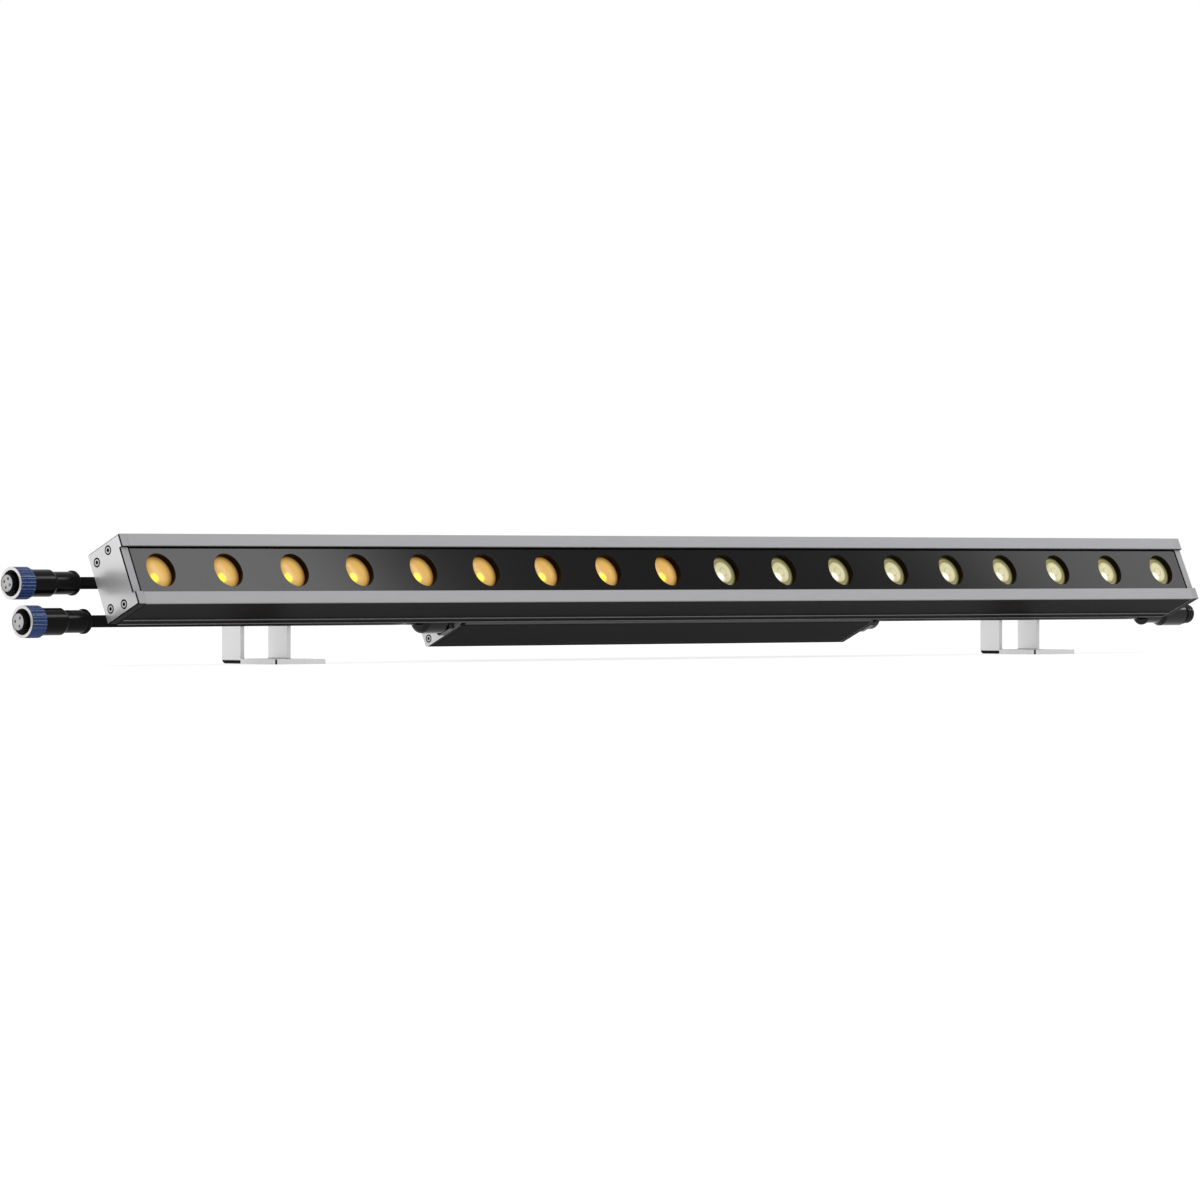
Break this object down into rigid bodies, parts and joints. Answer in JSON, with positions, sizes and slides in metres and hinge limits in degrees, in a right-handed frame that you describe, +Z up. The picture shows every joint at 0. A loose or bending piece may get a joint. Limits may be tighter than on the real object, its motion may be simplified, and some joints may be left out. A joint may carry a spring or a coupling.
{
  "type": "linear led fixture",
  "caption": "Slim linear light bar with a row of round lenses, a rear driver box, corded round connectors and sliding, tilting foot brackets.",
  "frame": {"origin": "on the mounting surface, midway between the slots of the two feet", "axes": "+X along the bar towards the outgoing cables, +Y to the rear, +Z up from the mounting surface"},
  "size_m": [1.1014, 0.0856, 0.082],
  "materials": {
    "black_anodised": "satin",
    "silver_anodised": "brushed",
    "light_metal": "brushed",
    "cover_black": "gloss",
    "lens_amber": "clear",
    "lens_white": "clear",
    "seal_rubber": "matte",
    "cable_jacket": "satin",
    "black_plastic": "satin",
    "grey_plastic": "satin",
    "blue_plastic": "satin",
    "pale_metal": "satin",
    "contact_brass": "satin",
    "screw_steel": "satin",
    "board_white": "satin",
    "board_green": "satin",
    "led_yellow": "gloss",
    "pad_grey": "matte",
    "component_dark": "satin"
  },
  "bodies": {
    "bracket_left": {"bracket_left": "light_metal", "pivot_bolts_left": "screw_steel", "friction_washers_left": "black_plastic"},
    "slider_left": {"slider_left": "screw_steel", "clamp_screws_left": "screw_steel"},
    "head": {"housing": "black_anodised", "driver_housing": "black_anodised", "front_rail_top": "silver_anodised", "front_rail_bottom": "silver_anodised", "cover_plate": "cover_black", "lenses_amber": "lens_amber", "lenses_white": "lens_white", "lens_seals": "seal_rubber", "lens_holders": "black_plastic", "led_board": "board_white", "led_packages": "led_yellow", "thermal_pad": "pad_grey", "board_screws": "screw_steel", "end_plate_left": "light_metal", "end_plate_right": "light_metal", "end_gasket_left": "seal_rubber", "end_gasket_right": "seal_rubber", "end_screws_left": "screw_steel", "end_screws_right": "screw_steel", "cable_clips": "black_plastic", "clip_screws": "screw_steel", "link_grommet": "seal_rubber", "driver_end_plate_left": "light_metal", "driver_end_plate_right": "light_metal", "driver_gasket_left": "seal_rubber", "driver_gasket_right": "seal_rubber", "driver_end_screws": "screw_steel", "driver_mounts": "screw_steel", "driver_mount_screws": "screw_steel", "driver_board": "board_green", "driver_components": "component_dark", "gland_bodies": "black_plastic", "gland_nuts": "black_plastic", "gland_locknuts": "black_plastic", "cable_power_in": "cable_jacket", "cable_data_in": "cable_jacket", "cable_power_out": "cable_jacket", "cable_data_out": "cable_jacket", "female_shells": "black_plastic", "female_inserts": "grey_plastic", "female_contacts": "contact_brass", "male_shells": "black_plastic", "male_pins": "contact_brass", "male_seals": "seal_rubber"},
    "slider_right": {"slider_right": "screw_steel", "clamp_screws_right": "screw_steel"},
    "bracket_right": {"bracket_right": "light_metal", "pivot_bolts_right": "screw_steel", "friction_washers_right": "black_plastic"},
    "ring_a": {"coupling_nut_a": "pale_metal", "coupling_sleeve_a": "blue_plastic"},
    "ring_b": {"coupling_nut_b": "pale_metal", "coupling_sleeve_b": "blue_plastic"}
  },
  "joints": [
    {"name": "head_tilt", "type": "hinge", "parent": "bracket_left", "child": "slider_left", "pos_m": [-0.3565, 0.0258, 0.0367], "axis": [-1, 0, 0], "range_deg": [-24.5, 65.5]},
    {"name": "slide_left", "type": "slide", "parent": "slider_left", "child": "head", "axis": [1, 0, 0], "range_m": [-0.05, 0.05]},
    {"name": "slide_right", "type": "slide", "parent": "head", "child": "slider_right", "axis": [1, 0, 0], "range_m": [-0.05, 0.05]},
    {"name": "foot_tilt", "type": "hinge", "parent": "slider_right", "child": "bracket_right", "pos_m": [0.3565, 0.0258, 0.0367], "axis": [-1, 0, 0], "range_deg": [-65.5, 24.5]},
    {"name": "ring_a_turn", "type": "hinge", "parent": "head", "child": "ring_a", "pos_m": [-0.558, 0.01766, 0.0514], "axis": [-1, 0, 0], "continuous": true},
    {"name": "ring_b_turn", "type": "hinge", "parent": "head", "child": "ring_b", "pos_m": [-0.558, 0.00688, 0.02774], "axis": [-1, 0, 0], "continuous": true}
  ],
  "couplings": [
    {"joint": "foot_tilt", "follows": "head_tilt", "ratio": -1}
  ]
}
